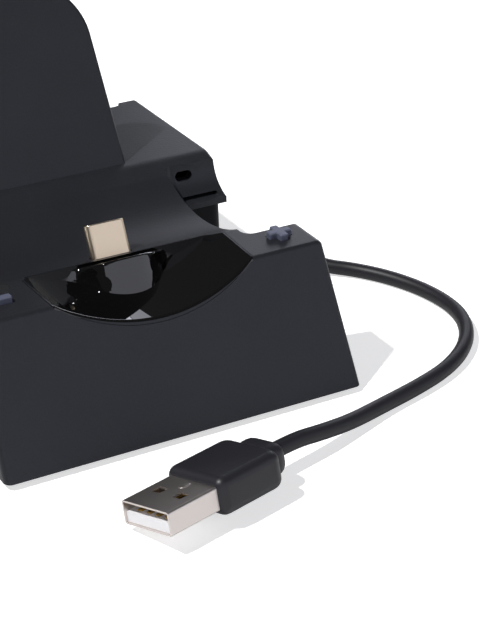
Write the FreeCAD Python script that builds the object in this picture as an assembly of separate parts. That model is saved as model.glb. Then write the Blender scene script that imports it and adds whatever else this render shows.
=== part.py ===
import FreeCAD
import Part
import math
import os

from FreeCAD import Vector

os.makedirs("parts", exist_ok=True)

# Charging station: tabletop dock with a leaning USB-C plug, a back support and a short supply cord
# Housing: X across, Y towards the back, Z up, origin on the floor under the middle
width = 74.6
depth = 93.8
foot_height = 1.2
strip_height = 26.9
strip_depth = 12.6
rear_height = 29.0
front_lean = 28.0
end_draft = 2.2
wall = 2.1
edge_round = 1.2
rear_round = 0.5
shoulder_round = 6.0
end_round = 0.8
front_corner_round = 1.4
fit_gap = 0.1

# Console trough behind the front strip
trough_drop = 3.5
trough_front_radius = 34.0
trough_rear_radius = 28.0
band_rise = 1.85
band_run = 5.0

# Side cut-outs, open at the ends, with the ledge that runs on behind them
cutout_width = 13.0
cutout_front = 9.3
cutout_corner = 2.4
ledge_back_forward = 2.4
ledge_tip_forward = 7.7
ledge_wall_forward = 5.6
ledge_tip_drop = 6.05
ledge_thickness = 1.3
ledge_sag = 1.5
ledge_corner = 2.0
wall_end_round = 2.4
ledge_slot_inset = 6.1
ledge_slot_rise = 0.5
ledge_slot_length = 8.2
ledge_slot_height = 0.8
eye_inset = 8.3
eye_drop = 1.65
eye_width = 3.9
eye_height = 2.0

# Shallow relief down the back
relief_inset = 5.4
relief_depth = 1.9
relief_round = 1.8

# Back support, leaning like the connector
lean = 28.0
support_half_width = 18.2
support_taper = 1.35
support_straight = 27.1
support_corner = 13.6
support_thickness = 4.2
support_setback = 1.6
support_round = 1.0

# Connector and its seat
connector_run = 6.34
connector_drop = 2.5
plug_c_width = 8.25
plug_c_thickness = 2.4
plug_c_height = 6.5
plug_c_wall = 0.3
plug_c_buried = 10.0
plug_c_round = 0.25
plug_c_pocket = 5.4
plug_c_recess = 0.4
slot_margin = 0.3
slot_above = 4.0
seat_radius = 8.4
seat_lean = 15.0
seat_forward = 1.0
seat_flare = 7.0
seat_drop = 1.1
seat_wall = 1.8
seat_edge = 0.4

# Gloss scoop in front of the connector
scoop_half_chord = 20.4
scoop_rim = 0.5
scoop_depth = 5.8
scoop_slope = -1.5
scoop_back = 2.2
liner_thickness = 0.8

# Plus and minus marks on the strip
mark_inset = 7.4
mark_arm = 4.8
mark_bar = 7.2
mark_thickness = 1.7
mark_rise = 1.2
mark_back = 3.3
mark_stem = 1.2
mark_round = 0.3

# Bottom cover, feet and screws
cover_thickness = 1.8
foot_radius = 5.0
foot_recess = 0.6
foot_inset_side = 8.3
foot_inset_front = 10.2
foot_inset_back = 10.4
screw_inset_side = 20.3
screw_radius = 1.1
screw_head_radius = 2.3
screw_head_height = 1.1
screw_head_inset = 0.05
screw_length = 8.0
screw_play = 0.15
boss_radius = 2.8
small_boss_radius = 2.2

# Boards
board_thickness = 1.2
board_side_room = 3.3
board_front_room = 0.5
board_back_room = 14.5
board_post_height = 1.2
board_post_radius = 2.6
board_screw_inset = 4.0
board_screw_length = 3.2
board_screw_radius = 0.8
board_screw_head = 1.6
board_screw_head_height = 0.9
connector_board_drop = 13.0
connector_board_width = 27.0
connector_board_depth = 8.0
connector_board_thickness = 1.0
connector_screw_x = 10.6
connector_screw_length = 4.2
connector_base_width = 11.4
connector_base_depth = 5.4
connector_base_round = 0.6
chip_size = 5.0
chip_height = 1.0
coil_size = 4.4
coil_height = 2.6
coil_round = 0.9
capacitor_radius = 1.6
capacitor_height = 4.2
component_gap = 1.5
lead_radius = 0.9
lead_drop = 3.0
lead_overlap = 3.0

# Cord, gland and plug
cord_diameter = 3.1
gland_room = 0.2
gland_z = 5.2
gland_radius = 2.6
gland_flange = 3.2
gland_flange_thickness = 1.0
gland_length = 3.5
gland_lip = 0.55
gland_run = 5.4
plug_x = -22.8
plug_y = -73.2
plug_yaw = 15.7
plug_roll = -12.6
plug_a_width = 12.0
plug_a_height = 4.5
plug_a_wall = 0.35
plug_a_length = 11.2
plug_a_buried = 5.0
plug_a_round = 0.5
window_size = 2.1
window_place = 5.0
window_spread = 2.7
grip_width = 14.6
grip_height = 7.2
grip_length = 15.4
grip_round = 1.3
grip_nose_round = 0.5
boot_width = 9.4
boot_height = 6.4
boot_length = 3.8
boot_round = 1.5
boot_overlap = 2.0
boot_run = 6.0
tongue_height = 1.9
tongue_inset = 0.4
contact_width = 1.0
contact_pitch = 2.3
contact_thickness = 0.25
contact_inset = 1.6

# Worked out from the sizes above
y_front = -depth / 2
y_back = depth / 2
z_base = foot_height
tan_front = math.tan(math.radians(front_lean))
cos_draft = math.cos(math.radians(end_draft))
sin_draft = math.sin(math.radians(end_draft))
y_strip_front = y_front + (strip_height - z_base) * tan_front
y_trough = y_strip_front + strip_depth
y_cutout = y_strip_front + cutout_front
trough_low = strip_height - trough_drop
z_band = rear_height - band_rise
trough_rear_rise = z_band - trough_low
y_low = y_trough + math.sqrt(2 * trough_front_radius * trough_drop - trough_drop ** 2)
y_band = y_low + math.sqrt(2 * trough_rear_radius * trough_rear_rise - trough_rear_rise ** 2)
y_edge = y_band + band_run
middle_half_width = width / 2 - cutout_width
ledge_back = y_edge - ledge_back_forward
ledge_tip = y_edge - ledge_tip_forward
ledge_wall = y_edge - ledge_wall_forward
ledge_tip_height = z_band - ledge_tip_drop
ledge_slot_x = width / 2 - ledge_slot_inset
ledge_slot_z = ledge_tip_height + ledge_slot_rise
eye_x = width / 2 - eye_inset
eye_z = z_band - eye_drop
relief_half_width = width / 2 - relief_inset
mark_x = width / 2 - mark_inset
foot_x = width / 2 - foot_inset_side
screw_x = width / 2 - screw_inset_side
gland_y = ledge_wall + wall + gland_flange + gland_room
cover_top = z_base + cover_thickness
board_bottom = cover_top + board_post_height
board_top = board_bottom + board_thickness
board_half_width = middle_half_width - board_side_room
board_front = ledge_wall + wall + board_front_room
board_back = y_back - board_back_room
board_middle = (board_front + board_back) / 2
board_screw_x = board_half_width - board_screw_inset
board_screw_y = board_back - board_screw_inset
sin_lean = math.sin(math.radians(lean))
cos_lean = math.cos(math.radians(lean))
connector_axis = Vector(0, sin_lean, cos_lean)
connector_front = Vector(0, -cos_lean, sin_lean)
connector_y = y_trough + connector_run
connector_base = Vector(0, connector_y, strip_height - connector_drop)
seat_way = Vector(0, math.sin(math.radians(seat_lean)), math.cos(math.radians(seat_lean)))
scoop_end = connector_y - scoop_back
scoop_front_height = strip_height - scoop_depth
scoop_front_y = y_strip_front - scoop_depth * tan_front
scoop_radius = (scoop_half_chord ** 2 + scoop_depth ** 2) / (2 * scoop_depth)
shell_scoop_deeper = liner_thickness + fit_gap
shell_scoop_depth = scoop_depth + shell_scoop_deeper
shell_half_chord = scoop_half_chord + scoop_rim
shell_scoop_radius = (shell_half_chord ** 2 + shell_scoop_depth ** 2) / (2 * shell_scoop_depth)
right = Vector(1, 0, 0)
up = Vector(0, 0, 1)
far = 2 * depth


def box(x0, x1, y0, y1, z0, z1):
    """Block between two corners."""
    return Part.makeBox(x1 - x0, y1 - y0, z1 - z0, Vector(x0, y0, z0))


def rod(start, direction, radius, length):
    """Cylinder from a point along a direction."""
    return Part.makeCylinder(radius, length, start, direction)


def leaning(x, front, along):
    """Point given across, towards the front and up the connector's leaning axis."""
    return connector_base + right * x + connector_front * front + connector_axis * along


def leaning_block(half_x, front0, front1, along0, along1):
    """Block square to the connector's leaning axis."""
    corners = [(-half_x, front0), (half_x, front0), (half_x, front1), (-half_x, front1)]
    points = [leaning(x, f, along0) for x, f in corners]
    face = Part.Face(Part.makePolygon(points + points[:1]))
    return face.extrude(connector_axis * (along1 - along0))


def obround(half_length, half_height, centre, across, high):
    """Flat face with two straight sides and round ends, in the plane of two directions."""
    reach = half_length - half_height
    a = centre - across * reach + high * half_height
    b = centre + across * reach + high * half_height
    c = centre + across * reach - high * half_height
    d = centre - across * reach - high * half_height
    edges = [
        Part.LineSegment(a, b).toShape(),
        Part.Arc(b, centre + across * half_length, c).toShape(),
        Part.LineSegment(c, d).toShape(),
        Part.Arc(d, centre - across * half_length, a).toShape(),
    ]
    return Part.Face(Part.Wire(edges))


def pick(shape, test):
    """Edges whose middle point passes a test."""
    chosen = []
    for edge in shape.Edges:
        middle = edge.valueAt((edge.FirstParameter + edge.LastParameter) / 2)
        if test(edge, middle):
            chosen.append(edge)
    return chosen


def mirrored(shape):
    """Copy on the other side of the middle plane."""
    return shape.mirror(Vector(0, 0, 0), Vector(1, 0, 0))


def arc_low(radius, y):
    """Point of a trough arc at a place along Y."""
    return Vector(0, y, trough_low + radius - math.sqrt(radius ** 2 - (y - y_low) ** 2))


def housing_face(reach_down):
    """Side profile of the housing, continued below its base by a reach."""
    z_end = z_base - reach_down
    low = Vector(0, y_low, trough_low)
    points = [
        Vector(0, y_front - reach_down * tan_front, z_end),
        Vector(0, y_strip_front, strip_height),
        Vector(0, y_trough, strip_height),
        low,
        Vector(0, y_band, z_band),
        Vector(0, y_edge, rear_height),
        Vector(0, y_back, rear_height),
        Vector(0, y_back, z_end),
    ]
    front_mid = arc_low(trough_front_radius, (y_trough + y_low) / 2)
    rear_mid = arc_low(trough_rear_radius, (y_band + y_low) / 2)
    edges = [
        Part.LineSegment(points[0], points[1]).toShape(),
        Part.LineSegment(points[1], points[2]).toShape(),
        Part.Arc(points[2], front_mid, low).toShape(),
        Part.Arc(low, rear_mid, points[4]).toShape(),
        Part.LineSegment(points[4], points[5]).toShape(),
        Part.LineSegment(points[5], points[6]).toShape(),
        Part.LineSegment(points[6], points[7]).toShape(),
        Part.LineSegment(points[7], points[0]).toShape(),
    ]
    return Part.Face(Part.Wire(edges))


def half_at(z):
    """Half width of the housing at a height, between its drafted ends."""
    return width / 2 - (z - z_base) * sin_draft / cos_draft


def between_ends(inset):
    """Room between the two drafted ends, less a wall."""
    low = z_base - 4 * wall
    high = rear_height + 4 * wall
    side = inset / cos_draft
    corners = [
        Vector(side - half_at(low), -far, low),
        Vector(half_at(low) - side, -far, low),
        Vector(half_at(high) - side, -far, high),
        Vector(side - half_at(high), -far, high),
    ]
    return Part.Face(Part.makePolygon(corners + corners[:1])).extrude(Vector(0, 2 * far, 0))


def across(face, inset):
    """Prism of a side profile from end to end, less a wall at both ends."""
    prism = face.translated(Vector(-width, 0, 0)).extrude(Vector(2 * width, 0, 0))
    return prism.common(between_ends(inset))


housing_raw = across(housing_face(0), 0)


def cutout_face():
    """Side profile of a side cut-out: front wall, lower back wall, and the ledge above it."""
    high = rear_height + 2 * wall
    deep = z_base - 2 * wall
    ledge_top = rear_height - (y_edge - ledge_back) * (rear_height - z_band) / band_run
    tip = Vector(0, ledge_tip, ledge_tip_height)
    top = Vector(0, ledge_back, ledge_top)
    chord = top - tip
    bulge = Vector(0, chord.z, -chord.y).normalize() * ledge_sag
    middle = (tip + top) * 0.5 + bulge
    under = ledge_tip_height - ledge_thickness
    corners = [
        Vector(0, ledge_back, high),
        Vector(0, y_cutout, high),
        Vector(0, y_cutout, deep),
        Vector(0, ledge_wall, deep),
        Vector(0, ledge_wall, under),
        Vector(0, ledge_tip, under),
        tip,
    ]
    edges = [Part.LineSegment(a, b).toShape() for a, b in zip(corners, corners[1:])]
    edges.append(Part.Arc(tip, middle, top).toShape())
    edges.append(Part.LineSegment(top, corners[0]).toShape())
    return Part.Face(Part.Wire(edges))


def cutout_tool(grow):
    """Right cut-out as a solid; grow leaves a wall round it."""
    face = cutout_face()
    if grow:
        face = face.makeOffset2D(grow, 2)
    start = middle_half_width - grow
    solid = face.translated(Vector(start, 0, 0)).extrude(Vector(width / 2 + wall - start, 0, 0))
    if grow:
        return solid
    inner = pick(solid, lambda e, m: abs(m.x - start) < 0.01 and abs(e.tangentAt(e.FirstParameter).x) < 0.1)
    front = [e for e in inner if abs(e.CenterOfMass.y - y_cutout) < 0.01]
    behind = [e for e in inner if e.CenterOfMass.z > ledge_tip_height and e.CenterOfMass.y > ledge_tip]
    return solid.makeFillet(cutout_corner, front).makeFillet(ledge_corner, behind)


def scoop_tool(radius, deeper, back):
    """Scoop as part of a cylinder whose lowest line slopes down to the front."""
    slope = math.radians(scoop_slope)
    along = Vector(0, math.cos(slope), math.sin(slope))
    normal = Vector(0, -math.sin(slope), math.cos(slope))
    start = Vector(0, scoop_front_y, scoop_front_height) + normal * (radius - deeper) - along * far
    tube = rod(start, along, radius, 2 * far)
    return tube.common(box(-width, width, -far, back, 0, far))


shell_scoop = scoop_tool(shell_scoop_radius, shell_scoop_deeper, scoop_end)


def relief_tool(grow):
    """Shallow relief down the back, with round inner corners."""
    solid = box(-relief_half_width - grow, relief_half_width + grow,
                y_back - relief_depth - grow, y_back + relief_depth, -depth, depth)
    upright = pick(solid, lambda e, m: abs(e.tangentAt(e.FirstParameter).z) > 0.9 and m.y < y_back)
    return solid.makeFillet(relief_round, upright)


def cavity(inset):
    """Hollow of the housing, a wall inside every outer face."""
    profile = housing_face(2 * wall).makeOffset2D(-inset, 2)
    hollow = across(profile, inset)
    keep_out = cutout_tool(inset)
    hollow = hollow.cut([keep_out, mirrored(keep_out)])
    hollow = hollow.cut(scoop_tool(shell_scoop_radius + inset, shell_scoop_deeper + inset, scoop_end + inset))
    return hollow.cut(relief_tool(inset))


def support_solid():
    """Leaning plate with tapered sides and two round top corners."""
    foot = Vector(0, y_edge + support_setback, rear_height)
    rise = connector_axis
    thick = Vector(0, cos_lean, -sin_lean)
    low = -2 * wall
    top = support_straight + support_corner
    half_top = support_half_width - support_taper

    def at(x, s):
        return foot + right * x + rise * s

    half_low = support_half_width + support_taper * 2 * wall / top
    side_drop = top - support_corner
    half_side = half_top + support_taper * support_corner / top
    k = math.sqrt(0.5)
    mid_x = half_side - support_corner * (1 - k)
    mid_s = side_drop + support_corner * k
    edges = [
        Part.LineSegment(at(-half_low, low), at(half_low, low)).toShape(),
        Part.LineSegment(at(half_low, low), at(half_side, side_drop)).toShape(),
        Part.Arc(at(half_side, side_drop), at(mid_x, mid_s), at(half_side - support_corner, top)).toShape(),
        Part.LineSegment(at(half_side - support_corner, top), at(support_corner - half_side, top)).toShape(),
        Part.Arc(at(support_corner - half_side, top), at(-mid_x, mid_s), at(-half_side, side_drop)).toShape(),
        Part.LineSegment(at(-half_side, side_drop), at(-half_low, low)).toShape(),
    ]
    plate = Part.Face(Part.Wire(edges)).extrude(thick * support_thickness)
    rim = pick(plate, lambda e, m: (m - foot).dot(rise) > low + 0.1
               and abs(e.tangentAt(e.FirstParameter).dot(thick)) < 0.5)
    plate = plate.makeFillet(support_round, rim)
    return plate.common(box(-width, width, -depth, 2 * depth, rear_height - wall / 2, 4 * depth))


def screw_places():
    """Cover screw places as X, Y pairs."""
    ys = (y_front + foot_inset_front, y_back - foot_inset_back)
    return [(sx * screw_x, y) for sx in (-1, 1) for y in ys]


def foot_places():
    """Foot places as X, Y pairs."""
    ys = (y_front + foot_inset_front, y_back - foot_inset_back)
    return [(sx * foot_x, y) for sx in (-1, 1) for y in ys]


def mark_blank(sign, gap, low, high):
    """Plus (right) or minus (left) on the strip, between two heights."""
    x = sign * mark_x
    y = y_cutout - mark_back
    half_bar = mark_thickness / 2 + gap
    half_arm = (mark_arm if sign > 0 else mark_bar) / 2 + gap
    bar = box(x - half_arm, x + half_arm, y - half_bar, y + half_bar, low, high)
    if sign < 0:
        return bar
    return bar.fuse(box(x - half_bar, x + half_bar, y - half_arm, y + half_arm, low, high)).removeSplitter()


def slot_tool():
    """Opening for the connector through the trough, the seat and the wall under it."""
    face = obround(plug_c_width / 2 + slot_margin, plug_c_thickness / 2 + slot_margin,
                   leaning(0, 0, -plug_c_buried), right, connector_front)
    return face.extrude(connector_axis * (plug_c_buried + slot_above))


def wall_ends(body, high):
    """Edges where the wall under a ledge meets an end of the housing."""
    return pick(body, lambda e, m: abs(abs(m.x) - half_at(m.z)) < 0.01 and abs(m.y - ledge_wall) < 0.01
                and z_base < m.z < high)


def top_shell():
    """Outer housing: profile, rounded edges, cut-outs, scoop, support, hollow and bosses."""
    body = housing_raw
    for y, z, radius in ((y_strip_front, strip_height, edge_round), (y_edge, rear_height, shoulder_round),
                         (y_back, rear_height, rear_round)):
        body = body.makeFillet(radius, pick(body, lambda e, m: abs(m.x) + abs(m.y - y) + abs(m.z - z) < 0.01))
    uprights = pick(body, lambda e, m: abs(abs(m.x) - half_at(m.z)) < 0.01 and m.z > z_base + 0.01
                    and m.y < y_strip_front)
    body = body.makeFillet(front_corner_round, uprights)
    end_edges = pick(body, lambda e, m: abs(abs(m.x) - half_at(m.z)) < 0.01 and m.z > z_base + 0.01)
    body = body.makeFillet(end_round, end_edges)
    tool = cutout_tool(0)
    body = body.cut([tool, mirrored(tool)])
    ledge_under = ledge_tip_height - ledge_thickness
    body = body.makeFillet(wall_end_round, wall_ends(body, ledge_under))
    body = body.cut([relief_tool(0), shell_scoop])
    body = body.fuse(support_solid()).removeSplitter()
    body = body.cut(cavity(wall))
    posts = [rod(Vector(x, y, cover_top), up, boss_radius, rear_height) for x, y in screw_places()]
    posts += [rod(leaning(x, 0, -connector_board_drop), connector_axis, small_boss_radius, rear_height)
              for x in (-connector_screw_x, connector_screw_x)]
    inner = cavity(wall - fit_gap)
    body = body.fuse([post.common(inner) for post in posts])
    pilots = [rod(Vector(x, y, z_base), up, screw_radius + screw_play, cover_thickness + screw_length)
              for x, y in screw_places()]
    pilots += [rod(leaning(x, 0, -connector_board_drop - 1), connector_axis,
                   board_screw_radius + screw_play, connector_screw_length + 1)
               for x in (-connector_screw_x, connector_screw_x)]
    body = body.cut(pilots)
    body = body.cut(slot_tool())
    for sign in (-1, 1):
        body = body.cut(mark_blank(sign, fit_gap, strip_height - mark_stem, rear_height))
        body = body.cut(ledge_openings(sign))
    return body.cut(gland_hole()).removeSplitter()


def ledge_openings(sign):
    """Slot just above the ledge's lip and the oval eye higher up, both through the ledge."""
    slot_centre = Vector(sign * ledge_slot_x, ledge_tip, ledge_slot_z)
    slot = obround(ledge_slot_length / 2, ledge_slot_height / 2, slot_centre, right, up)
    eye = obround(eye_width / 2, eye_height / 2, Vector(sign * eye_x, ledge_tip, eye_z), right, up)
    reach = Vector(0, 4 * wall, 0)
    return [slot.extrude(reach), eye.extrude(reach)]


gland_way = Vector(cos_draft, 0, sin_draft)
gland_seat = Vector(half_at(gland_z), gland_y, gland_z)


def gland_at(along, out):
    """Point along the gland's axis from the end face, and out to the side."""
    return gland_seat + gland_way * along + Vector(0, out, 0)


def gland_hole():
    """Round hole for the cord gland in the right end wall."""
    return rod(gland_at(-2 * wall, 0), gland_way, gland_radius + fit_gap, 4 * wall)


def seat_face():
    """Plan of the seat: a round nose that flares out into the scoop's back wall."""
    y_wall = scoop_end - fit_gap
    middle = Vector(0, connector_y - seat_forward, 0)
    flare_y = y_wall - seat_flare
    flare_x = math.sqrt((seat_radius + seat_flare) ** 2 - (flare_y - middle.y) ** 2)
    flare = Vector(flare_x, flare_y, 0)
    inward = (middle - flare).normalize()
    touch = flare + inward * seat_flare
    bend = flare + (inward + Vector(0, 1, 0)).normalize() * seat_flare
    corner = Vector(flare_x, y_wall, 0)
    behind = Vector(flare_x, y_wall + seat_flare, 0)
    nose = middle - Vector(0, seat_radius, 0)

    def other(p):
        return Vector(-p.x, p.y, p.z)

    edges = [
        Part.Arc(corner, bend, touch).toShape(),
        Part.Arc(touch, nose, other(touch)).toShape(),
        Part.Arc(other(touch), other(bend), other(corner)).toShape(),
        Part.LineSegment(other(corner), other(behind)).toShape(),
        Part.LineSegment(other(behind), behind).toShape(),
        Part.LineSegment(behind, corner).toShape(),
    ]
    return Part.Face(Part.Wire(edges))


def connector_bowl():
    """Gloss liner of the scoop with the seat that rises in it, square to the connector on top."""
    y_wall = scoop_end - fit_gap
    inside = scoop_tool(scoop_radius, 0, y_wall - liner_thickness)
    outside = scoop_tool(shell_scoop_radius, shell_scoop_deeper, y_wall)
    outside = outside.common(scoop_tool(shell_scoop_radius - fit_gap, liner_thickness, y_wall))
    liner = outside.cut(inside).common(housing_raw)
    foot = Vector(0, 0, connector_base.z) - seat_way * rear_height
    pillar = seat_face().translated(foot).extrude(seat_way * 2 * rear_height)
    pillar = pillar.cut(leaning_block(width, -far, far, -seat_drop, far))
    rim = pick(pillar, lambda e, m: abs((m - connector_base).dot(connector_axis) + seat_drop) < 0.01
               and m.y < y_wall - 0.1)
    pillar = pillar.makeFillet(seat_edge, rim).common(outside)
    core = rod(foot + Vector(0, connector_y - seat_forward, 0), seat_way, seat_radius - seat_wall,
               2 * rear_height)
    core = core.cut(leaning_block(width, -far, far, -seat_drop - seat_wall, far))
    core = core.common(box(-width, width, -far, y_wall - liner_thickness, 0, far))
    return liner.fuse(pillar).cut([core, slot_tool()]).removeSplitter()


def bottom_cover():
    """Base plate inside the skirt, with foot recesses, screw holes and board posts."""
    plate = cavity(wall + fit_gap).common(box(-width, width, -depth, depth, z_base, cover_top))
    for x, y in foot_places():
        plate = plate.cut(rod(Vector(x, y, 0), up, foot_radius + fit_gap, z_base + foot_recess))
    for x, y in screw_places():
        plate = plate.cut(rod(Vector(x, y, 0), up, screw_radius + screw_play, cover_top + 1))
        plate = plate.cut(rod(Vector(x, y, 0), up, screw_head_radius + screw_play,
                              z_base + screw_head_height))
    for x in (-board_screw_x, board_screw_x):
        plate = plate.fuse(rod(Vector(x, board_screw_y, cover_top), up, board_post_radius, board_post_height))
        plate = plate.cut(rod(Vector(x, board_screw_y, cover_top), up, board_screw_radius + screw_play,
                              board_post_height))
    flange_start = gland_at(-wall - gland_flange_thickness - fit_gap, 0)
    flange_room = rod(flange_start, gland_way, gland_flange + fit_gap, wall)
    return plate.cut(flange_room).removeSplitter()


def foot(x, y):
    """Round rubber foot, seated in its recess."""
    pad = rod(Vector(x, y, 0), up, foot_radius, foot_height + foot_recess)
    lower = pick(pad, lambda e, m: m.z < 0.01)
    return pad.makeFillet(foot_height / 3, lower)


def screw(head, direction, radius, length, head_radius, head_height):
    """Pan screw with a cross recess, from the top of its head along a direction."""
    body = rod(head, direction, head_radius, head_height)
    cross = head_radius
    blade = box(-cross / 2, cross / 2, -radius / 4, radius / 4, 0, head_height / 2)
    blade = blade.fuse(blade.rotated(Vector(0, 0, 0), up, 90))
    blade.Placement = FreeCAD.Placement(head, FreeCAD.Rotation(up, direction))
    return body.fuse(rod(head, direction, radius, length)).cut(blade).removeSplitter()


def plug_c_face(shrink, along):
    """Rounded outline of the USB-C plug at a height along its axis."""
    return obround(plug_c_width / 2 - shrink, plug_c_thickness / 2 - shrink,
                   leaning(0, 0, along), right, connector_front)


def usb_c_shell():
    """Hollow metal shell of the connector, with a rounded mouth."""
    length = plug_c_height + plug_c_buried
    outer = plug_c_face(0, -plug_c_buried).extrude(connector_axis * length)
    mouth = pick(outer, lambda e, m: (m - connector_base).dot(connector_axis) > plug_c_height - 0.01)
    outer = outer.makeFillet(plug_c_round, mouth)
    inner = plug_c_face(plug_c_wall, -plug_c_buried - 1).extrude(connector_axis * (length + 2))
    return outer.cut(inner)


def usb_c_liner():
    """Dark moulding inside the shell, open at the mouth."""
    length = plug_c_height + plug_c_buried - plug_c_recess
    outer = plug_c_face(plug_c_wall, -plug_c_buried).extrude(connector_axis * length)
    pocket = plug_c_face(plug_c_wall + plug_c_recess, plug_c_height - plug_c_pocket)
    return outer.cut(pocket.extrude(connector_axis * plug_c_pocket))


def usb_c_base():
    """Moulded block under the seat that carries the connector on its board."""
    block = leaning_block(connector_base_width / 2, -connector_base_depth / 2, connector_base_depth / 2,
                          -connector_board_drop, -plug_c_buried)
    upright = pick(block, lambda e, m: abs(e.tangentAt(e.FirstParameter).dot(connector_axis)) > 0.9)
    return block.makeFillet(connector_base_round, upright)


def connector_board():
    """Small board square to the connector, screwed to two bosses."""
    low = -connector_board_drop - connector_board_thickness
    board = leaning_block(connector_board_width / 2, -connector_board_depth / 2, connector_board_depth / 2,
                          low, -connector_board_drop)
    for x in (-connector_screw_x, connector_screw_x):
        board = board.cut(rod(leaning(x, 0, low), connector_axis, board_screw_radius + screw_play,
                              connector_board_thickness))
    return board


def connector_screws():
    """Two screws that hold the connector board."""
    head_place = -connector_board_drop - connector_board_thickness - board_screw_head_height
    return Part.makeCompound([
        screw(leaning(x, 0, head_place), connector_axis, board_screw_radius,
              connector_screw_length, board_screw_head, board_screw_head_height)
        for x in (-connector_screw_x, connector_screw_x)])


def main_board():
    """Charging board on two posts of the cover."""
    board = box(-board_half_width, board_half_width, board_front, board_back, board_bottom, board_top)
    for x in (-board_screw_x, board_screw_x):
        board = board.cut(rod(Vector(x, board_screw_y, board_bottom), up, board_screw_radius + screw_play,
                              board_thickness))
    return board


def board_screws():
    """Two screws that hold the main board."""
    return Part.makeCompound([
        screw(Vector(x, board_screw_y, board_top + board_screw_head_height), -up, board_screw_radius,
              board_screw_length, board_screw_head, board_screw_head_height)
        for x in (-board_screw_x, board_screw_x)])


def charger_chip():
    """Flat square chip on the board."""
    half = chip_size / 2
    return box(-chip_size, 0, board_middle - half, board_middle + half, board_top, board_top + chip_height)


def power_coil():
    """Square coil beside the chip."""
    half = coil_size / 2
    block = box(chip_size, chip_size + coil_size, board_middle - half, board_middle + half,
                board_top, board_top + coil_height)
    upright = pick(block, lambda e, m: abs(e.tangentAt(e.FirstParameter).z) > 0.9)
    return block.makeFillet(coil_round, upright)


def capacitors():
    """Two round capacitors beside the chip and the coil."""
    reach = component_gap + capacitor_radius
    return Part.makeCompound([
        rod(Vector(x, board_middle, board_top), up, capacitor_radius, capacitor_height)
        for x in (-chip_size - reach, chip_size + coil_size + reach)])


def lead(points):
    """Round inner lead along straight runs, with a mitre at each bend."""
    section = Part.Wire(Part.makeCircle(lead_radius, points[0], points[1] - points[0]))
    return Part.makePolygon(points).makePipeShell([section], True, False, 1)


def connector_lead():
    """Inner lead from the connector board to the main board."""
    start = leaning(0, 0, -connector_board_drop - connector_board_thickness)
    lead_z = board_top + lead_radius
    return lead([start, start - connector_axis * lead_drop, Vector(0, board_front - lead_overlap, lead_z),
                 Vector(0, board_front + lead_overlap, lead_z)])


def cord_gland():
    """Tapered strain relief with a flange inside the wall."""
    inner = -wall - gland_flange_thickness
    outline = [
        (inner, 0), (inner, gland_flange), (-wall, gland_flange), (-wall, gland_radius),
        (0, gland_radius), (gland_length, cord_diameter / 2 + gland_lip), (gland_length, 0),
    ]
    points = [gland_at(along, out) for along, out in outline]
    face = Part.Face(Part.makePolygon(points + points[:1]))
    return face.revolve(gland_seat, gland_way, 360)


def cord_core():
    """Inner lead from the gland to the edge of the board."""
    start = gland_at(-wall - gland_flange_thickness, 0)
    lead_z = board_top + lead_radius
    return lead([
        start,
        start - gland_way * lead_drop,
        Vector((start.x + board_half_width) / 2, gland_y, lead_z),
        Vector(board_half_width - lead_overlap, gland_y, lead_z),
    ])


# Route of the cord from the gland's tip to the plug's boot, chosen by hand
cord_z = cord_diameter / 2
plug_turn = FreeCAD.Rotation(up, plug_yaw) * FreeCAD.Rotation(right, plug_roll)
roll_turn = math.radians(abs(plug_roll))
grip_low = math.cos(roll_turn) * (grip_height / 2 - grip_round)
grip_side = math.sin(roll_turn) * (grip_width / 2 - grip_round)
plug_z = grip_low + grip_side + grip_round
plug_place = FreeCAD.Placement(Vector(plug_x, plug_y, plug_z), plug_turn)
boot_end_x = plug_a_length + grip_length + boot_length
boot_end = plug_place.multVec(Vector(boot_end_x, 0, 0))
boot_way = plug_turn.multVec(right)
cord_points = [
    gland_at(gland_length, 0),
    gland_at(gland_length + gland_run, 0),
    Vector(51.6, 10.7, 4.2),
    Vector(57.0, 1.6, 1.9),
    Vector(63.4, -3.9, cord_z),
    Vector(68.0, -11.4, cord_z),
    Vector(70.9, -20.2, cord_z),
    Vector(71.4, -29.4, cord_z),
    Vector(68.6, -37.6, cord_z),
    Vector(63.0, -44.6, cord_z),
    Vector(55.0, -50.0, cord_z),
    Vector(45.8, -53.3, cord_z),
    Vector(36.4, -55.8, cord_z),
    Vector(27.0, -59.2, 2.3),
    Vector(18.6, -61.9, 3.8),
    boot_end + boot_way * boot_run,
    boot_end,
]


def cord_path():
    """Straight runs joined by tangent arcs, as large as the runs allow; prints the radii."""
    edges = []
    here = cord_points[0]
    radii = []
    for before, corner, after in zip(cord_points, cord_points[1:], cord_points[2:]):
        back = before - corner
        ahead = after - corner
        turn = math.pi - back.getAngle(ahead)
        trim = 0.45 * min(back.Length, ahead.Length)
        radii.append(trim / math.tan(turn / 2))
        enter = corner + back.normalize() * trim
        leave = corner + ahead.normalize() * trim
        bisector = (back + ahead).normalize()
        sag = radii[-1] / math.cos(turn / 2) - radii[-1]
        edges.append(Part.LineSegment(here, enter).toShape())
        edges.append(Part.Arc(enter, corner + bisector * sag, leave).toShape())
        here = leave
    edges.append(Part.LineSegment(here, cord_points[-1]).toShape())
    print("cord radii", [round(r, 1) for r in radii])
    return Part.Wire(edges)


def supply_cord():
    """Round cord along its path."""
    path = cord_path()
    way = cord_points[1] - cord_points[0]
    section = Part.Wire(Part.makeCircle(cord_diameter / 2, cord_points[0], way))
    tube = path.makePipeShell([section], True, False)
    print("cord length", round(path.Length, 1), "volume ratio",
          round(tube.Volume / (math.pi * cord_diameter ** 2 / 4 * path.Length), 4))
    return tube


def plug_block(x0, x1, half_y, half_z, corner):
    """Rounded bar along the plug's axis."""
    solid = box(x0, x1, -half_y, half_y, -half_z, half_z)
    long_edges = pick(solid, lambda e, m: abs(e.tangentAt(e.FirstParameter).x) > 0.9)
    return solid.makeFillet(corner, long_edges)


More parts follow.
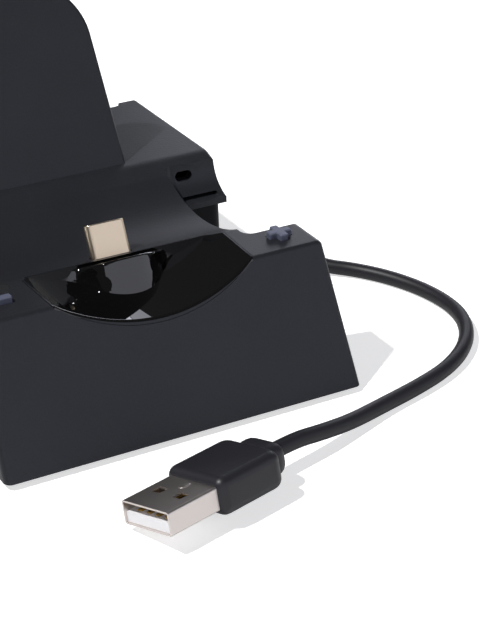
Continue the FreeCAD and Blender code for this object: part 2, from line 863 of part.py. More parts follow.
def placed(shape):
    """Plug piece set down at its place on the floor."""
    moved = shape.copy()
    moved.Placement = plug_place.multiply(moved.Placement)
    return moved


def plug_grip():
    """Moulded grip with softened ends and a smaller rounded boot behind it."""
    grip_end = plug_a_length + grip_length
    grip = plug_block(plug_a_length, grip_end, grip_width / 2, grip_height / 2, grip_round)
    grip = grip.makeFillet(grip_nose_round * 2, pick(grip, lambda e, m: abs(m.x - grip_end) < 0.01))
    grip = grip.makeFillet(grip_nose_round, pick(grip, lambda e, m: abs(m.x - plug_a_length) < 0.01))
    boot = plug_block(grip_end - boot_overlap, boot_end_x, boot_width / 2, boot_height / 2, boot_round)
    boot = boot.makeFillet(boot_round * 0.6, pick(boot, lambda e, m: abs(m.x - boot_end_x) < 0.01))
    half_y = plug_a_width / 2 + fit_gap
    half_z = plug_a_height / 2 + fit_gap
    hollow = box(0, plug_a_length + plug_a_buried, -half_y, half_y, -half_z, half_z)
    return placed(grip.fuse(boot).cut(hollow).removeSplitter())


def plug_a_shell():
    """Folded metal shell with two square windows in each broad side."""
    shell = plug_block(0, plug_a_length + plug_a_buried, plug_a_width / 2, plug_a_height / 2, plug_a_round)
    half_y = plug_a_width / 2 - plug_a_wall
    half_z = plug_a_height / 2 - plug_a_wall
    shell = shell.cut(box(-1, far, -half_y, half_y, -half_z, half_z))
    half = window_size / 2
    for y in (-window_spread, window_spread):
        shell = shell.cut(box(window_place, window_place + window_size, y - half, y + half,
                              -plug_a_height, plug_a_height))
    return placed(shell)


plug_floor = -plug_a_height / 2 + plug_a_wall
tongue_top = plug_floor + tongue_height


def plug_insulator():
    """White tongue in the lower half of the shell, and the block behind it."""
    half = plug_a_width / 2 - plug_a_wall
    back = plug_a_length + plug_a_buried
    tongue = box(tongue_inset, back, -half, half, plug_floor, tongue_top)
    rear = box(plug_a_length, back, -half, half, plug_floor, -plug_floor)
    return placed(tongue.fuse(rear).removeSplitter())


def plug_contacts():
    """Four flat contacts on the tongue."""
    strips = []
    for step in (-1.5, -0.5, 0.5, 1.5):
        y = step * contact_pitch
        strips.append(placed(box(contact_inset, plug_a_length, y - contact_width / 2, y + contact_width / 2,
                                 tongue_top, tongue_top + contact_thickness)))
    return Part.makeCompound(strips)


def mark(sign):
    """Raised plus or minus, pressed into its recess in the strip."""
    solid = mark_blank(sign, 0, strip_height - mark_stem, strip_height + mark_rise)
    rim = pick(solid, lambda e, m: m.z > strip_height + mark_rise - 0.01)
    return solid.makeFillet(mark_round, rim)


parts = {
    "top_shell": top_shell(),
    "connector_bowl": connector_bowl(),
    "bottom_cover": bottom_cover(),
    "usb_c_shell": usb_c_shell(),
    "usb_c_liner": usb_c_liner(),
    "usb_c_base": usb_c_base(),
    "connector_board": connector_board(),
    "connector_screws": connector_screws(),
    "plus_mark": mark(1),
    "minus_mark": mark(-1),
    "main_board": main_board(),
    "board_screws": board_screws(),
    "connector_lead": connector_lead(),
    "charger_chip": charger_chip(),
    "power_coil": power_coil(),
    "capacitors": capacitors(),
    "cord_gland": cord_gland(),
    "cord_core": cord_core(),
    "supply_cord": supply_cord(),
    "plug_grip": plug_grip(),
    "plug_a_shell": plug_a_shell(),
    "plug_insulator": plug_insulator(),
    "plug_contacts": plug_contacts(),
    "cover_screws": Part.makeCompound([
        screw(Vector(x, y, z_base + screw_head_inset), up, screw_radius, screw_length, screw_head_radius,
              screw_head_height - screw_head_inset)
        for x, y in screw_places()]),
}
for x, y in foot_places():
    side = "left" if x < 0 else "right"
    end = "front" if y < 0 else "rear"
    parts["foot_" + end + "_" + side] = foot(x, y)

for name, shape in parts.items():
    print(name, "valid", shape.isValid(), "solids", len(shape.Solids), "volume", round(shape.Volume, 1))
    shape.exportStep("parts/" + name + ".step")
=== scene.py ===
import logging
import math
from dataclasses import dataclass
from enum import Enum
from functools import cache
from typing import Any, Dict, Iterable, List, Optional, Sequence, Tuple, Union

import bmesh
import bpy
from mathutils import Matrix, Vector


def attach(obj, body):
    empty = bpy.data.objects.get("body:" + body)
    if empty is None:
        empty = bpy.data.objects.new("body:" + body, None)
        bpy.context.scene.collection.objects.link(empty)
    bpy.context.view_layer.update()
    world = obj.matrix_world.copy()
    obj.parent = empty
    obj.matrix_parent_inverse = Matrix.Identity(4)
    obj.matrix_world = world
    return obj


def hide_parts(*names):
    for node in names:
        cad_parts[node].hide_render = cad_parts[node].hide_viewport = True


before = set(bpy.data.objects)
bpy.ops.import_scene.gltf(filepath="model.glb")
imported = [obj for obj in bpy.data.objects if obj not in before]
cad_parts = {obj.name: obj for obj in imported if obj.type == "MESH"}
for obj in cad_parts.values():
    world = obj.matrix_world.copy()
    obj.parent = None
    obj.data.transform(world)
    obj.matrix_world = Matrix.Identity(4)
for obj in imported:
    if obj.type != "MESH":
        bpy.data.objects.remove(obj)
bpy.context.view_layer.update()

BODY = "root"
MM = 0.001
HALF = 0.5
log = logging.getLogger("charging_station")

WHITE_LIGHT = (1.0, 1.0, 1.0)
COOL_LIGHT = (0.952, 0.968, 1.078)
DOCK_MIDDLE = (0.0, 0.0, 0.02)

Colour = Tuple[float, float, float]
Point = Tuple[float, float, float]
Operand = Union["Reading", float]
Sockets = Dict[Union[str, int], Any]


def tone(red: int, green: int, blue: int) -> Colour:
    """Linear colour of a swatch given as the 0 to 255 numbers a paint chart uses.

    Args:
        red: Red part of the swatch.
        green: Green part of the swatch.
        blue: Blue part of the swatch.

    Returns:
        The colour as linear numbers from 0 to 1.
    """
    def linear(value: int) -> float:
        """One part of the swatch, made linear by the sRGB curve."""
        share = value / 255
        return share / 12.92 if share <= 0.04045 else ((share + 0.055) / 1.055) ** 2.4
    return linear(red), linear(green), linear(blue)


class Reading:
    """A value in a shader, which adds its Math nodes as it is worked with."""

    def __init__(self, shader: "Shader", socket: Optional[bpy.types.NodeSocket]) -> None:
        """Wraps one output socket of a shader; the last node of a tree has none."""
        self.shader = shader
        self.socket = socket

    def math(self, operation: str, *values: Operand) -> "Reading":
        """Adds a Math node.

        Args:
            operation: The Math node's operation.
            values: What feeds its sockets, in order.

        Returns:
            The node's result.
        """
        return self.shader.node("ShaderNodeMath", {"operation": operation}, dict(enumerate(values)))

    def __add__(self, other: Operand) -> "Reading":
        """Sum of two values."""
        return self.math("ADD", self, other)

    def __radd__(self, other: Operand) -> "Reading":
        """Sum with the number on the left."""
        return self.math("ADD", other, self)

    def __mul__(self, other: Operand) -> "Reading":
        """Product of two values."""
        return self.math("MULTIPLY", self, other)

    def __rmul__(self, other: Operand) -> "Reading":
        """Product with the number on the left."""
        return self.math("MULTIPLY", other, self)


class Shader:
    """The node tree of a material or of the world."""

    NOISE_DETAIL = 2.0
    NOISE_ROUGHNESS = 0.55
    MIX_SHARE, MIX_FIRST, MIX_SECOND = 0, 6, 7
    MIX_COLOUR = 2

    def __init__(self, owner: Union[bpy.types.Material, bpy.types.World]) -> None:
        """Starts with an empty tree.

        Args:
            owner: The material or world that the nodes belong to.
        """
        owner.use_nodes = True
        self.tree = owner.node_tree
        self.tree.nodes.clear()

    def node(self, kind: str, settings: Optional[Dict[str, Any]] = None, sockets: Optional[Sockets] = None,
             result: Union[str, int] = 0) -> Reading:
        """Adds a node of any type.

        Args:
            kind: The node's type.
            settings: Its settings, which are set first.
            sockets: What feeds its sockets, as readings or plain values.
            result: Which output to hand back.

        Returns:
            The chosen output.
        """
        made = self.tree.nodes.new(kind)
        for key, value in (settings or {}).items():
            setattr(made, key, value)
        for key, value in (sockets or {}).items():
            if isinstance(value, Reading):
                self.tree.links.new(value.socket, made.inputs[key])
            else:
                made.inputs[key].default_value = value
        return Reading(self, made.outputs[result] if made.outputs else None)

    def place(self) -> Reading:
        """Place on the object, in metres."""
        return self.node("ShaderNodeTexCoord", result="Object")

    def noise(self, size: float) -> Reading:
        """Soft cloud pattern from 0 to 1, with spots of a size in metres."""
        return self.node("ShaderNodeTexNoise", sockets={
            "Vector": self.place(), "Scale": 1 / size, "Detail": self.NOISE_DETAIL,
            "Roughness": self.NOISE_ROUGHNESS})

    def blend(self, share: Operand, first: Any, second: Any) -> Reading:
        """Mix of two colours.

        Args:
            share: Share of the second colour.
            first: Colour at share 0.
            second: Colour at share 1.

        Returns:
            The mixed colour.
        """
        sockets = {self.MIX_SHARE: share, self.MIX_FIRST: first, self.MIX_SECOND: second}
        return self.node("ShaderNodeMix", {"data_type": "RGBA"}, sockets, self.MIX_COLOUR)


@dataclass(frozen=True)
class Grain:
    """Fine relief and unevenness of a finish."""

    size: float
    depth: float
    strength: float
    mottle: float = 0.0
    mottle_size: float = 6 * MM
    sheen: float = 0.0


@dataclass(frozen=True)
class Finish:
    """One finish of the dock: its colour, gloss and grain."""

    name: str
    colour: Colour
    roughness: float
    metallic: float = 0.0
    specular: float = 0.5
    tint: Colour = WHITE_LIGHT
    grain: Optional[Grain] = None

    @cache
    def material(self) -> bpy.types.Material:
        """The finish as a material, made once.

        Returns:
            The material that carries the finish.
        """
        made = bpy.data.materials.new(self.name)
        shader = Shader(made)
        sockets: Sockets = {
            "Base Color": (*self.colour, 1.0), "Roughness": self.roughness, "Metallic": self.metallic,
            "Specular IOR Level": self.specular, "Specular Tint": (*self.tint, 1.0)}
        if self.grain is not None:
            sockets.update(self.uneven(shader, self.grain))
        surface = shader.node("ShaderNodeBsdfPrincipled", sockets=sockets)
        shader.node("ShaderNodeOutputMaterial", sockets={"Surface": surface})
        return made

    def uneven(self, shader: Shader, grain: Grain) -> Sockets:
        """Sockets that vary over the surface.

        Args:
            shader: The material's nodes.
            grain: The grain to give it.

        Returns:
            The varying sockets by name.
        """
        fine = shader.noise(grain.size)
        bump = shader.node("ShaderNodeBump", sockets={
            "Strength": grain.strength, "Distance": grain.depth, "Height": fine})
        varied: Sockets = {"Normal": bump}
        if grain.mottle:
            cloud = shader.noise(grain.mottle_size)
            pale = tuple(min(1.0, part * (1 + grain.mottle)) for part in self.colour)
            deep = tuple(part * (1 - grain.mottle) for part in self.colour)
            varied["Base Color"] = shader.blend(HALF * cloud + HALF * fine, (*deep, 1.0), (*pale, 1.0))
        if grain.sheen:
            varied["Roughness"] = self.roughness - HALF * grain.sheen + grain.sheen * fine
        return varied


class Finishes(Enum):
    """Every finish of the charging station."""

    HOUSING = Finish(
        "matte_charcoal", tone(34, 35, 39), roughness=0.42, specular=0.36, tint=(0.915, 0.94, 1.0),
        grain=Grain(size=0.4 * MM, depth=0.06 * MM, strength=0.45, mottle=0.28, mottle_size=14 * MM))
    # Painted shade: near black for the cut-outs' inner and rear walls, standing in for the shade in those
    # recesses.
    RECESS_SHADE = Finish("painted_recess_shade", tone(15, 17, 20), roughness=0.5, specular=0.12)
    COVER = Finish("cover_charcoal", tone(42, 42, 46), roughness=0.55,
                   grain=Grain(size=0.4 * MM, depth=0.05 * MM, strength=0.4))
    GLOSS = Finish("piano_black", tone(10, 10, 11), roughness=0.01, specular=1.0)
    MARK = Finish("slate_marks", tone(86, 90, 108), roughness=0.5)
    NICKEL = Finish("warm_nickel", tone(236, 218, 192), roughness=0.32, metallic=1.0,
                    grain=Grain(size=0.5 * MM, depth=0.01 * MM, strength=0.2, sheen=0.08))
    PLUG_METAL = Finish("plug_nickel", tone(220, 212, 207), roughness=0.36, metallic=1.0,
                        grain=Grain(size=0.5 * MM, depth=0.01 * MM, strength=0.2, sheen=0.08))
    DARK = Finish("dark_plastic", tone(24, 24, 25), roughness=0.6)
    BOARD = Finish("board_green", tone(30, 92, 58), roughness=0.45)
    STEEL = Finish("plain_steel", tone(186, 186, 190), roughness=0.35, metallic=1.0)
    CHIP = Finish("chip_black", tone(30, 30, 32), roughness=0.55)
    CAN = Finish("can_aluminium", tone(200, 200, 204), roughness=0.3, metallic=1.0)
    RUBBER = Finish("soft_rubber", tone(34, 34, 35), roughness=0.8)
    CORD = Finish("cord_black", tone(35, 35, 39), roughness=0.45, specular=0.28,
                  grain=Grain(size=0.6 * MM, depth=0.02 * MM, strength=0.25))
    GRIP = Finish("plug_grip_black", tone(34, 34, 39), roughness=0.42, specular=0.42,
                  grain=Grain(size=0.3 * MM, depth=0.03 * MM, strength=0.35))
    WHITE = Finish("tongue_white", tone(240, 240, 242), roughness=0.4)
    BRASS = Finish("contact_gold", tone(224, 186, 104), roughness=0.3, metallic=1.0)


def round_edges(shape: bmesh.types.BMesh, edges: Iterable[bmesh.types.BMEdge], width: float, steps: int,
                clamp: bool = False) -> None:
    """Rounds some edges of a shape.

    Args:
        shape: The shape.
        edges: The edges to round.
        width: How far the round reaches from each edge.
        steps: How many faces it has across.
        clamp: Whether neighbouring rounds stop before they meet.
    """
    bmesh.ops.bevel(shape, geom=list(edges), offset=width, segments=steps, affect="EDGES", profile=0.5,
                    material=-1, clamp_overlap=clamp)


class Skin:
    """Smooth-shaded copies of the CAD nodes, and finishes on the plain ones."""

    MERGE = 0.002 * MM
    CREASE = 24.0

    @staticmethod
    def paint(node: str, finish: Finishes) -> None:
        """Gives a CAD node its finish.

        Args:
            node: The CAD node.
            finish: The finish it gets.
        """
        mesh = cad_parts[node].data
        mesh.materials.clear()
        mesh.materials.append(finish.value.material())
        log.info("painted %s with %s", node, finish.value.name)

    @staticmethod
    def smooth(node: str, finish: Finishes, slot: str, sharp: float = CREASE) -> bpy.types.Object:
        """Stands a smooth-shaded copy in for a CAD node.

        Args:
            node: The CAD node.
            finish: The finish the copy gets.
            slot: The record's material slot.
            sharp: Edges that turn more than this many degrees stay crisp.

        Returns:
            The copy.
        """
        return Skin.stand_in(node, Skin.merged(node), finish, slot, sharp)

    @staticmethod
    def merged(node: str) -> bmesh.types.BMesh:
        """Copies a CAD node with its loose triangles joined.

        Args:
            node: The CAD node.

        Returns:
            The joined copy.
        """
        shape = bmesh.new()
        shape.from_mesh(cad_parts[node].data)
        bmesh.ops.remove_doubles(shape, verts=shape.verts[:], dist=Skin.MERGE)
        bmesh.ops.dissolve_degenerate(shape, edges=shape.edges[:], dist=Skin.MERGE)
        return shape

    @staticmethod
    def stand_in(node: str, shape: bmesh.types.BMesh, finish: Finishes, slot: str,
                 sharp: float) -> bpy.types.Object:
        """Stands a shape in for a CAD node.

        Args:
            node: The CAD node.
            shape: The shape, which is used up.
            finish: Its finish.
            slot: The record's material slot.
            sharp: Edges that turn more than this many degrees stay crisp.

        Returns:
            The piece.
        """
        limit = math.radians(sharp)
        for face in shape.faces:
            face.smooth = True
            face.material_index = 0
        for edge in shape.edges:
            edge.smooth = len(edge.link_faces) == 2 and edge.calc_face_angle(0.0) < limit
        piece = Piece.from_shape(node + "_skin", shape, finish, slot)
        weights = piece.modifiers.new("even_shading", "WEIGHTED_NORMAL")
        weights.keep_sharp = True
        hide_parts(node)
        return piece


class Piece:
    """New pieces that ride on the dock."""

    @staticmethod
    def from_shape(name: str, shape: bmesh.types.BMesh, finish: Finishes, slot: str) -> bpy.types.Object:
        """Turns a bmesh into a piece.

        Args:
            name: The piece's name.
            shape: Its shape, which is used up.
            finish: Its finish.
            slot: The record's material slot.

        Returns:
            The piece.
        """
        mesh = bpy.data.meshes.new(name)
        shape.to_mesh(mesh)
        shape.free()
        mesh.materials.append(finish.value.material())
        return Piece.add(bpy.data.objects.new(name, mesh), slot)

    @staticmethod
    def add(piece: bpy.types.Object, slot: str) -> bpy.types.Object:
        """Puts a piece on the dock.

        Args:
            piece: The piece, in place.
            slot: The record's material slot; not used.

        Returns:
            The piece.
        """
        bpy.context.scene.collection.objects.link(piece)
        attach(piece, BODY)
        log.info("placed %s", piece.name)
        return piece


@dataclass
class Housing:
    """The moulded housing, its cover, feet and screws."""

    crease: float = Skin.CREASE
    recess_side: float = 24.2 * MM
    recess_bend: float = 2.4 * MM
    recess_start: float = -24.0 * MM
    recess_front: float = 7.0 * MM
    recess_back: float = 9.0 * MM
    recess_top: float = 19.5 * MM
    recess_rim: float = 27.0 * MM
    recess_facing: float = 0.5
    mark_flat: float = 0.02
    mark_sharp: float = 40.0
    mark_round: float = 0.34 * MM
    mark_steps: int = 4

    def build(self) -> None:
        """Dresses the housing."""
        self.paint_recess_shade(Skin.smooth("top_shell", Finishes.HOUSING, "housing", self.crease))
        Skin.paint("bottom_cover", Finishes.COVER)
        for end in ("front", "rear"):
            for side in ("left", "right"):
                Skin.paint(f"foot_{end}_{side}", Finishes.RUBBER)
        for group in ("cover_screws", "board_screws", "connector_screws"):
            Skin.paint(group, Finishes.STEEL)
        for sign in ("plus_mark", "minus_mark"):
            Skin.stand_in(sign, self.soft_mark(sign), Finishes.MARK, "marks", self.crease)

    def soft_mark(self, sign: str) -> bmesh.types.BMesh:
        """A raised mark with rounded edges.

        Args:
            sign: The mark's CAD node.

        Returns:
            Its shape.
        """
        shape = Skin.merged(sign)
        bmesh.ops.dissolve_limit(
            shape, angle_limit=self.mark_flat, verts=shape.verts[:], edges=shape.edges[:])
        sharp = math.radians(self.mark_sharp)
        edges = [edge for edge in shape.edges if edge.calc_face_angle(0.0) > sharp]
        round_edges(shape, edges, self.mark_round, self.mark_steps, clamp=True)
        return shape

    def paint_recess_shade(self, shell: bpy.types.Object) -> None:
        """Paints shade on the inner and rear walls of both cut-outs: a near-black finish where shade falls
        in them.

        Args:
            shell: The housing's piece.
        """
        # Painted shade: the walls deep in the cut-outs get the near-black finish in place of the housing's
        # own colour.
        shell.data.materials.append(Finishes.RECESS_SHADE.value.material())
        for face in shell.data.polygons:
            side, depth, height = face.center
            outward = math.copysign(face.normal.x, face.normal.x * side)
            rear = (depth > self.recess_front and height < self.recess_top
                    and face.normal.y < -self.recess_facing)
            inner = (abs(side) < self.recess_side + self.recess_bend and height < self.recess_rim
                     and outward > self.recess_facing)
            if abs(side) > self.recess_side and self.recess_start < depth < self.recess_back:
                face.material_index = int(rear or inner)


@dataclass
class ConnectorSeat:
    """The gloss scoop and the USB-C plug that stands behind it."""

    crease: float = 30.0
    seat_top: float = 27.0 * MM
    seat_wall: float = -17.45 * MM
    seat_front: float = -27.0 * MM
    seat_half_width: float = 12.0 * MM
    blend_run: float = 4.0 * MM
    extra_lean: float = 0.264
    scoop_radius: float = 38.77 * MM
    scoop_low: float = 21.1 * MM
    scoop_lip: float = -36.7 * MM
    scoop_slope: float = 0.0262
    extra_slope: float = 0.058
    rim_share: float = 4.2 * MM
    lip_round: float = 0.5 * MM
    lip_steps: int = 5
    lip_facing: float = 0.6
    front_way: Point = (0.0, -0.883, 0.469)
    front_share: float = 0.993
    rim_height: float = 26.4 * MM
    rim_front: float = -31.0 * MM
    floor_margin: float = 0.25 * MM
    wall_blend: float = 3.5 * MM

    def build(self) -> None:
        """Dresses the scoop and the plug."""
        shape = Skin.merged("connector_bowl")
        self.tilt_floor(shape)
        self.lean_seat(shape)
        self.round_lip(shape)
        scoop = Skin.stand_in("connector_bowl", shape, Finishes.GLOSS, "gloss_black", self.crease)
        self.matte_rim(scoop)
        Skin.smooth("usb_c_shell", Finishes.NICKEL, "connector_metal", self.crease)
        Skin.paint("usb_c_liner", Finishes.DARK)
        Skin.paint("usb_c_base", Finishes.DARK)

    def tilt_floor(self, shape: bmesh.types.BMesh) -> None:
        """Raises the scoop's floor towards its back, with its lip kept.

        Args:
            shape: The scoop's shape.
        """
        for corner in shape.verts:
            place = corner.co
            run = place.y - self.scoop_lip
            rise = self.scoop_radius - math.sqrt(max(0.0, self.scoop_radius ** 2 - place.x ** 2))
            floor = self.scoop_low - self.scoop_slope * run + rise
            above = place.z - floor
            if -self.floor_margin < above < self.wall_blend:
                share = min(1.0, max(0.0, 1.0 - rise / self.rim_share))
                fade = 1.0 - max(0.0, above - self.floor_margin) / (self.wall_blend - self.floor_margin)
                place.z += share * fade * self.extra_slope * max(0.0, run)

    def lean_seat(self, shape: bmesh.types.BMesh) -> None:
        """Leans the seat's wall like the plug, with its top edge kept.

        Args:
            shape: The scoop's shape.
        """
        for corner in shape.verts:
            place = corner.co
            if abs(place.x) < self.seat_half_width and self.seat_front < place.y < self.seat_wall:
                share = min(1.0, (self.seat_wall - place.y) / self.blend_run)
                place.y -= share * self.extra_lean * max(0.0, self.seat_top - place.z)

    def round_lip(self, shape: bmesh.types.BMesh) -> None:
        """Rounds the edge where the scoop's floor meets its front rim.

        Args:
            shape: The scoop's shape.
        """
        shape.normal_update()
        lip = []
        for edge in shape.edges:
            ways = sorted((face.normal for face in edge.link_faces), key=lambda way: way.y)
            if len(ways) == 2 and ways[0].y < -self.lip_facing and ways[1].z > self.lip_facing > -ways[1].y:
                if all(corner.co.y < self.rim_front for corner in edge.verts):
                    lip.append(edge)
        round_edges(shape, lip, self.lip_round, self.lip_steps)

    def matte_rim(self, scoop: bpy.types.Object) -> None:
        """Gives the rim that lies in the housing's front and strip the housing's finish.

        Args:
            scoop: The scoop's piece.
        """
        scoop.data.materials.append(Finishes.HOUSING.value.material())
        front = Vector(self.front_way)
        for face in scoop.data.polygons:
            ahead = face.center.y < self.rim_front and face.normal.dot(front) > self.front_share
            level = face.center.z > self.rim_height and face.normal.z > self.front_share
            face.material_index = int(ahead or level)


@dataclass
class Electronics:
    """The boards and what sits on them."""

    def build(self) -> None:
        """Gives the inner pieces their finishes."""
        finishes = {
            "main_board": Finishes.BOARD, "connector_board": Finishes.BOARD, "charger_chip": Finishes.CHIP,
            "power_coil": Finishes.CHIP, "capacitors": Finishes.CAN, "cord_core": Finishes.CORD,
            "connector_lead": Finishes.CORD}
        for node, finish in finishes.items():
            Skin.paint(node, finish)


@dataclass
class SupplyPlug:
    """The USB-A plug on the cord's far end."""

    crease: float = 30.0
    place: Point = (-22.8 * MM, -73.2 * MM, 4.853 * MM)
    yaw: float = 15.7
    roll: float = -12.6
    nose: float = 11.2 * MM
    grip_size: Point = (15.4 * MM, 14.6 * MM, 7.2 * MM)
    grip_round: float = 1.9 * MM
    heel_round: float = 2.4 * MM
    boot_start: float = -2.0 * MM
    boot_size: Point = (5.8 * MM, 9.4 * MM, 6.4 * MM)
    boot_round: float = 2.4 * MM
    round_steps: int = 6
    dimple_size: Point = (1.3 * MM, 0.95 * MM, 0.14 * MM)
    dimple_place: Point = (9.45 * MM, 0.0, 2.25 * MM)
    dimple_steps: int = 24

    def build(self) -> List[bpy.types.Object]:
        """Dresses the plug.

        Returns:
            Its pieces, which are handed to the cord.
        """
        pieces = [
            Skin.stand_in("plug_grip", self.grip(), Finishes.GRIP, "plug_grip", self.crease),
            Skin.smooth("plug_a_shell", Finishes.PLUG_METAL, "plug_metal", self.crease),
            Piece.from_shape("plug_dimple", self.dimple(), Finishes.PLUG_METAL, "plug_metal"),
        ]
        for node, finish in (("plug_insulator", Finishes.WHITE), ("plug_contacts", Finishes.BRASS)):
            Skin.paint(node, finish)
            pieces.append(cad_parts[node])
        return pieces

    def frame_matrix(self) -> Matrix:
        """Place and turn of the plug on the floor.

        Returns:
            The matrix that sets a piece of the plug in place.
        """
        yaw = Matrix.Rotation(math.radians(self.yaw), 4, "Z")
        roll = Matrix.Rotation(math.radians(self.roll), 4, "X")
        return Matrix.Translation(self.place) @ yaw @ roll

    def block(self, shape: bmesh.types.BMesh, start: float, size: Point) -> List[bmesh.types.BMVert]:
        """Adds a block on the plug's axis.

        Args:
            shape: The shape it goes into.
            start: Where it starts along the axis.
            size: Its length, width and height.

        Returns:
            The block's corners.
        """
        corners = bmesh.ops.create_cube(shape, size=1.0)["verts"]
        bmesh.ops.scale(shape, vec=size, verts=corners)
        bmesh.ops.translate(shape, vec=(start + size[0] / 2, 0.0, 0.0), verts=corners)
        return corners

    def grip(self) -> bmesh.types.BMesh:
        """Soft grip with a rounded heel, and the boot behind it.

        Returns:
            The shape, in place.
        """
        shape = bmesh.new()
        self.block(shape, self.nose, self.grip_size)
        heel = self.nose + self.grip_size[0]
        upright = [edge for edge in shape.edges
                   if all(abs(corner.co.x - heel) < Skin.MERGE for corner in edge.verts)
                   and abs(edge.verts[0].co.y - edge.verts[1].co.y) < Skin.MERGE]
        round_edges(shape, upright, self.heel_round, self.round_steps)
        sharp = math.radians(self.crease)
        outline = [edge for edge in shape.edges if edge.calc_face_angle(0.0) > sharp]
        round_edges(shape, outline, self.grip_round, self.round_steps)
        boot = self.block(shape, heel + self.boot_start, self.boot_size)
        boot_edges = {edge for corner in boot for edge in corner.link_edges}
        round_edges(shape, boot_edges, self.boot_round, self.round_steps)
        bmesh.ops.transform(shape, matrix=self.frame_matrix(), verts=shape.verts[:])
        return shape

    def dimple(self) -> bmesh.types.BMesh:
        """Small raised oval on the shell's upper side.

        Returns:
            The shape, in place.
        """
        shape = bmesh.new()
        bmesh.ops.create_uvsphere(
            shape, u_segments=self.dimple_steps, v_segments=self.dimple_steps // 2, radius=1.0)
        bmesh.ops.scale(shape, vec=self.dimple_size, verts=shape.verts[:])
        bmesh.ops.translate(shape, vec=self.dimple_place, verts=shape.verts[:])
        bmesh.ops.transform(shape, matrix=self.frame_matrix(), verts=shape.verts[:])
        for face in shape.faces:
            face.smooth = True
        return shape


@dataclass
class SupplyCord:
    """The round cord from the gland to the plug."""

    diameter: float = 3.1 * MM
    length: float = 135 * MM
    turns: int = 12
    order: int = 3
    route: Sequence[Point] = (
        (40.644, 13.288, 5.334),
        (46.040, 13.288, 5.542),
        (51.6, 10.7, 4.2),
        (57.0, 1.6, 1.9),
        (63.4, -3.9, 1.55),
        (68.0, -11.4, 1.55),
        (70.9, -20.2, 1.55),
        (71.4, -29.4, 1.55),
        (68.6, -37.6, 1.55),
        (63.0, -44.6, 1.55),
        (55.0, -50.0, 1.55),
        (45.8, -53.3, 1.55),
        (36.4, -55.8, 1.55),
        (27.0, -59.2, 2.3),
        (18.6, -61.9, 3.8),
        (12.242, -63.350, 4.853),
        (6.466, -64.974, 4.853),
    )

    def build(self, on_end: Sequence[bpy.types.Object]) -> None:
        """Lays the cord along its route.

        Args:
            on_end: The plug's pieces; not used.
        """
        Skin.smooth("cord_gland", Finishes.CORD, "cord_jacket")
        curve = bpy.data.curves.new("supply_cord_line", "CURVE")
        curve.dimensions = "3D"
        curve.bevel_depth = self.diameter / 2
        curve.bevel_resolution = self.turns // 2
        curve.use_fill_caps = True
        spline = curve.splines.new("NURBS")
        spline.points.add(len(self.route) - 1)
        for point, place in zip(spline.points, self.route):
            point.co = (*(part * MM for part in place), 1.0)
        spline.order_u = self.order
        spline.use_endpoint_u = True
        spline.resolution_u = self.turns
        curve.materials.append(Finishes.CORD.value.material())
        cord = Piece.add(bpy.data.objects.new("supply_cord_line", curve), "cord_jacket")
        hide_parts("supply_cord")


@dataclass(frozen=True)
class Softbox:
    """One studio lamp."""

    name: str
    place: Point
    aim: Point
    width: float
    height: float
    power: float
    colour: Colour = WHITE_LIGHT

    def build(self) -> None:
        """Hangs the lamp."""
        lamp = bpy.data.lights.new(self.name, "AREA")
        lamp.shape = "RECTANGLE"
        lamp.size = self.width
        lamp.size_y = self.height
        lamp.energy = self.power
        lamp.color = self.colour
        holder = bpy.data.objects.new(self.name, lamp)
        holder.location = self.place
        way = Vector(self.aim) - Vector(self.place)
        holder.rotation_euler = way.to_track_quat("-Z", "Y").to_euler()
        bpy.context.scene.collection.objects.link(holder)


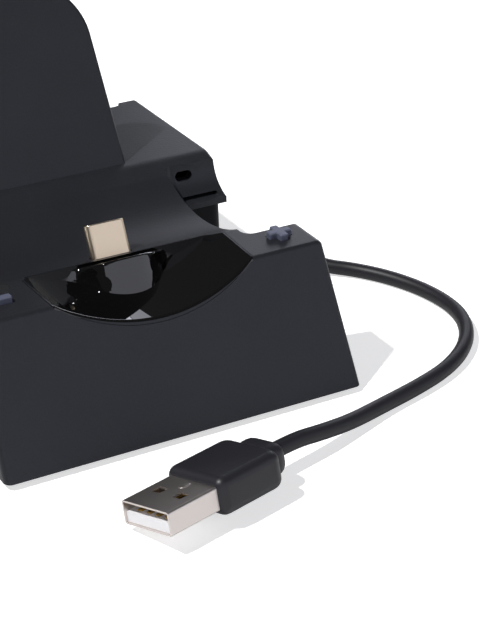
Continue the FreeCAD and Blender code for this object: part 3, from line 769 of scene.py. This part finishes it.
@dataclass
class Studio:
    """White floor, soft lamps and the camera."""

    floor_size: float = 4.0
    floor_left: float = -0.40
    floor_colour: Colour = (0.8, 0.8, 0.8)
    floor_glow: float = 0.62
    floor_gloss_glow: float = 0.12
    sky: float = 0.05
    backdrop: float = 1.0
    camera_place: Point = (-148.45 * MM, -329.88 * MM, 190.67 * MM)
    camera_way: Point = (0.4393, 0.7733, -0.4571)
    lens: float = 115.2
    sensor: float = 36.0
    near: float = 0.01
    lamps: Tuple[Softbox, ...] = (
        Softbox("key_lamp", place=(-1.118, 0.169, 1.89), aim=DOCK_MIDDLE, width=0.06, height=0.06,
                power=48.0),
        Softbox("back_card", place=(0.715, 0.766, 0.320), aim=DOCK_MIDDLE, width=0.584, height=0.268,
                power=1.45, colour=COOL_LIGHT),
        Softbox("lip_card", place=(0.585, 0.776, 0.515), aim=DOCK_MIDDLE, width=0.191, height=0.152,
                power=0.123, colour=COOL_LIGHT),
        Softbox("front_card", place=(0.285, -1.063, 0.50), aim=(0.0, 0.0, 0.50), width=4.4, height=1.0,
                power=10.8, colour=COOL_LIGHT),
    )

    def build(self) -> None:
        """Sets the stage."""
        bpy.context.scene.view_settings.view_transform = "Standard"
        self.floor()
        self.world()
        for lamp in self.lamps:
            lamp.build()
        self.camera()

    def floor(self) -> None:
        """Lays the pale floor, white to the camera where no shadow falls."""
        shape = bmesh.new()
        bmesh.ops.create_grid(shape, x_segments=1, y_segments=1, size=self.floor_size / 2)
        middle = Vector((self.floor_left + self.floor_size / 2, 0, 0))
        bmesh.ops.translate(shape, vec=middle, verts=shape.verts[:])
        mesh = bpy.data.meshes.new("floor")
        shape.to_mesh(mesh)
        shape.free()
        paint = bpy.data.materials.new("studio_floor")
        shader = Shader(paint)
        camera, gloss, through = (shader.node("ShaderNodeLightPath", result=name)
                                  for name in ("Is Camera Ray", "Is Glossy Ray", "Is Transmission Ray"))
        level = self.floor_glow * (camera + through) + self.floor_gloss_glow * gloss
        matte = shader.node("ShaderNodeBsdfDiffuse", sockets={"Color": (*self.floor_colour, 1.0)})
        glow = shader.node("ShaderNodeEmission", sockets={"Strength": level})
        surface = shader.node("ShaderNodeAddShader", sockets={0: matte, 1: glow})
        shader.node("ShaderNodeOutputMaterial", sockets={"Surface": surface})
        mesh.materials.append(paint)
        plane = bpy.data.objects.new("floor", mesh)
        bpy.context.scene.collection.objects.link(plane)

    def world(self) -> None:
        """Sets the even light all round, white to the camera."""
        world = bpy.data.worlds.new("studio")
        shader = Shader(world)
        camera = shader.node("ShaderNodeLightPath", result="Is Camera Ray")
        plain, white = (shader.node("ShaderNodeBackground", sockets={
            "Color": (*WHITE_LIGHT, 1.0), "Strength": level}) for level in (self.sky, self.backdrop))
        mixed = shader.node("ShaderNodeMixShader", sockets={0: camera, 1: plain, 2: white})
        shader.node("ShaderNodeOutputWorld", sockets={"Surface": mixed})
        bpy.context.scene.world = world

    def camera(self) -> None:
        """Stands the camera where the photograph was taken from."""
        data = bpy.data.cameras.new("camera")
        data.lens = self.lens
        data.sensor_width = self.sensor
        data.clip_start = self.near
        camera = bpy.data.objects.new("camera", data)
        camera.location = self.camera_place
        camera.rotation_euler = Vector(self.camera_way).to_track_quat("-Z", "Y").to_euler()
        bpy.context.scene.collection.objects.link(camera)
        bpy.context.scene.camera = camera


def main() -> None:
    """Builds the charging station and its studio."""
    logging.basicConfig(level=logging.INFO, format="%(message)s")
    Housing().build()
    ConnectorSeat().build()
    Electronics().build()
    SupplyCord().build(SupplyPlug().build())
    Studio().build()


if __name__ == "__main__":
    main()
